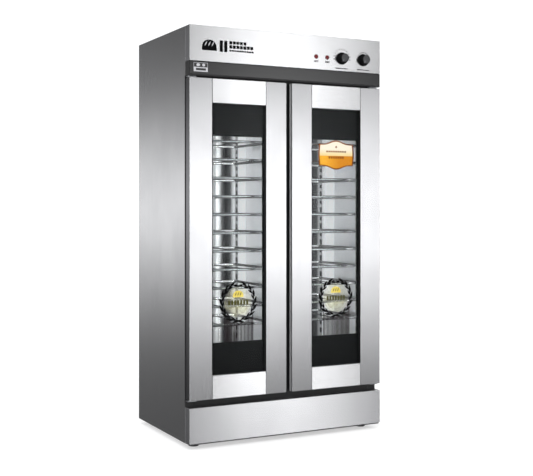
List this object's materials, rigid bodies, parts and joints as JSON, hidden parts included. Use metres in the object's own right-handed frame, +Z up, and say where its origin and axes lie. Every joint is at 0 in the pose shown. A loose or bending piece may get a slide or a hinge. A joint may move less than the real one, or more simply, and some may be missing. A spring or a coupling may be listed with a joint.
{
  "type": "proofing cabinet",
  "caption": "Tall stainless steel bakery proofing cabinet with two glazed hinged doors, wire shelves, a water tray with heater, and a control fascia with knobs and lamps.",
  "frame": {"origin": "floor level at the middle of the whole footprint, knobs and cable gland included", "axes": "+Z up, the doors and controls face -Y, +X to the right of someone who looks at the doors"},
  "size_m": [1, 0.693, 1.88],
  "materials": {
    "brushed_steel": "fine vertical brushed stainless steel",
    "polished_steel": "bright stainless sheet, close to a mirror",
    "chromed_wire": "bright drawn wire",
    "black_paint": "satin black powder coat",
    "grey_trim": "satin dark grey moulding",
    "black_plastic": "moulded black plastic",
    "red_lens": "red translucent lamp lens",
    "rubber": "matt black door gasket",
    "glass": "clear toughened pane with black printed borders"
  },
  "bodies": {
    "cabinet": {"left_side_panel": "brushed_steel", "right_side_panel": "brushed_steel", "top_panel": "brushed_steel", "back_panel": "brushed_steel", "base_pan": "brushed_steel", "control_fascia": "brushed_steel", "plinth_panel": "brushed_steel", "inner_liner": "polished_steel", "centre_partition": "polished_steel", "water_tray": "polished_steel", "heater_element": "polished_steel", "left_upper_hinge": "polished_steel", "left_lower_hinge": "polished_steel", "right_upper_hinge": "polished_steel", "right_lower_hinge": "polished_steel", "left_shelf_01": "chromed_wire", "left_shelf_02": "chromed_wire", "left_shelf_03": "chromed_wire", "left_shelf_04": "chromed_wire", "left_shelf_05": "chromed_wire", "left_shelf_06": "chromed_wire", "left_shelf_07": "chromed_wire", "left_shelf_08": "chromed_wire", "left_shelf_09": "chromed_wire", "left_shelf_10": "chromed_wire", "left_shelf_11": "chromed_wire", "right_shelf_01": "chromed_wire", "right_shelf_02": "chromed_wire", "right_shelf_03": "chromed_wire", "right_shelf_04": "chromed_wire", "right_shelf_05": "chromed_wire", "right_shelf_06": "chromed_wire", "right_shelf_07": "chromed_wire", "right_shelf_08": "chromed_wire", "right_shelf_09": "chromed_wire", "right_shelf_10": "chromed_wire", "right_shelf_11": "chromed_wire", "front_frame": "black_paint", "trim_band": "grey_trim", "control_box": "black_plastic", "front_left_foot": "black_plastic", "front_right_foot": "black_plastic", "rear_left_foot": "black_plastic", "rear_right_foot": "black_plastic", "heating_lamp": "red_lens", "humidity_lamp": "red_lens"},
    "left_door": {"left_door_hinge_stile": "brushed_steel", "left_door_handle_stile": "brushed_steel", "left_door_top_rail": "brushed_steel", "left_door_bottom_rail": "brushed_steel", "left_door_glass": "glass", "left_door_gasket": "rubber"},
    "right_door": {"right_door_hinge_stile": "brushed_steel", "right_door_handle_stile": "brushed_steel", "right_door_top_rail": "brushed_steel", "right_door_bottom_rail": "brushed_steel", "right_door_glass": "glass", "right_door_gasket": "rubber"},
    "temperature_knob": {"temperature_knob": "black_plastic"},
    "humidity_knob": {"humidity_knob": "black_plastic"}
  },
  "joints": [
    {"name": "left_door_hinge", "type": "hinge", "parent": "cabinet", "child": "left_door", "pos_m": [-0.491, -0.2845, 0.218], "axis": [0, 0, -1], "range_deg": [0, 110]},
    {"name": "right_door_hinge", "type": "hinge", "parent": "cabinet", "child": "right_door", "pos_m": [0.491, -0.2845, 0.218], "axis": [0, 0, 1], "range_deg": [0, 110]},
    {"name": "temperature_knob_turn", "type": "hinge", "parent": "cabinet", "child": "temperature_knob", "pos_m": [0.285, -0.3155, 1.7813], "axis": [0, 1, 0], "range_deg": [0, 300]},
    {"name": "humidity_knob_turn", "type": "hinge", "parent": "cabinet", "child": "humidity_knob", "pos_m": [0.405, -0.3155, 1.7813], "axis": [0, 1, 0], "range_deg": [0, 300]}
  ]
}
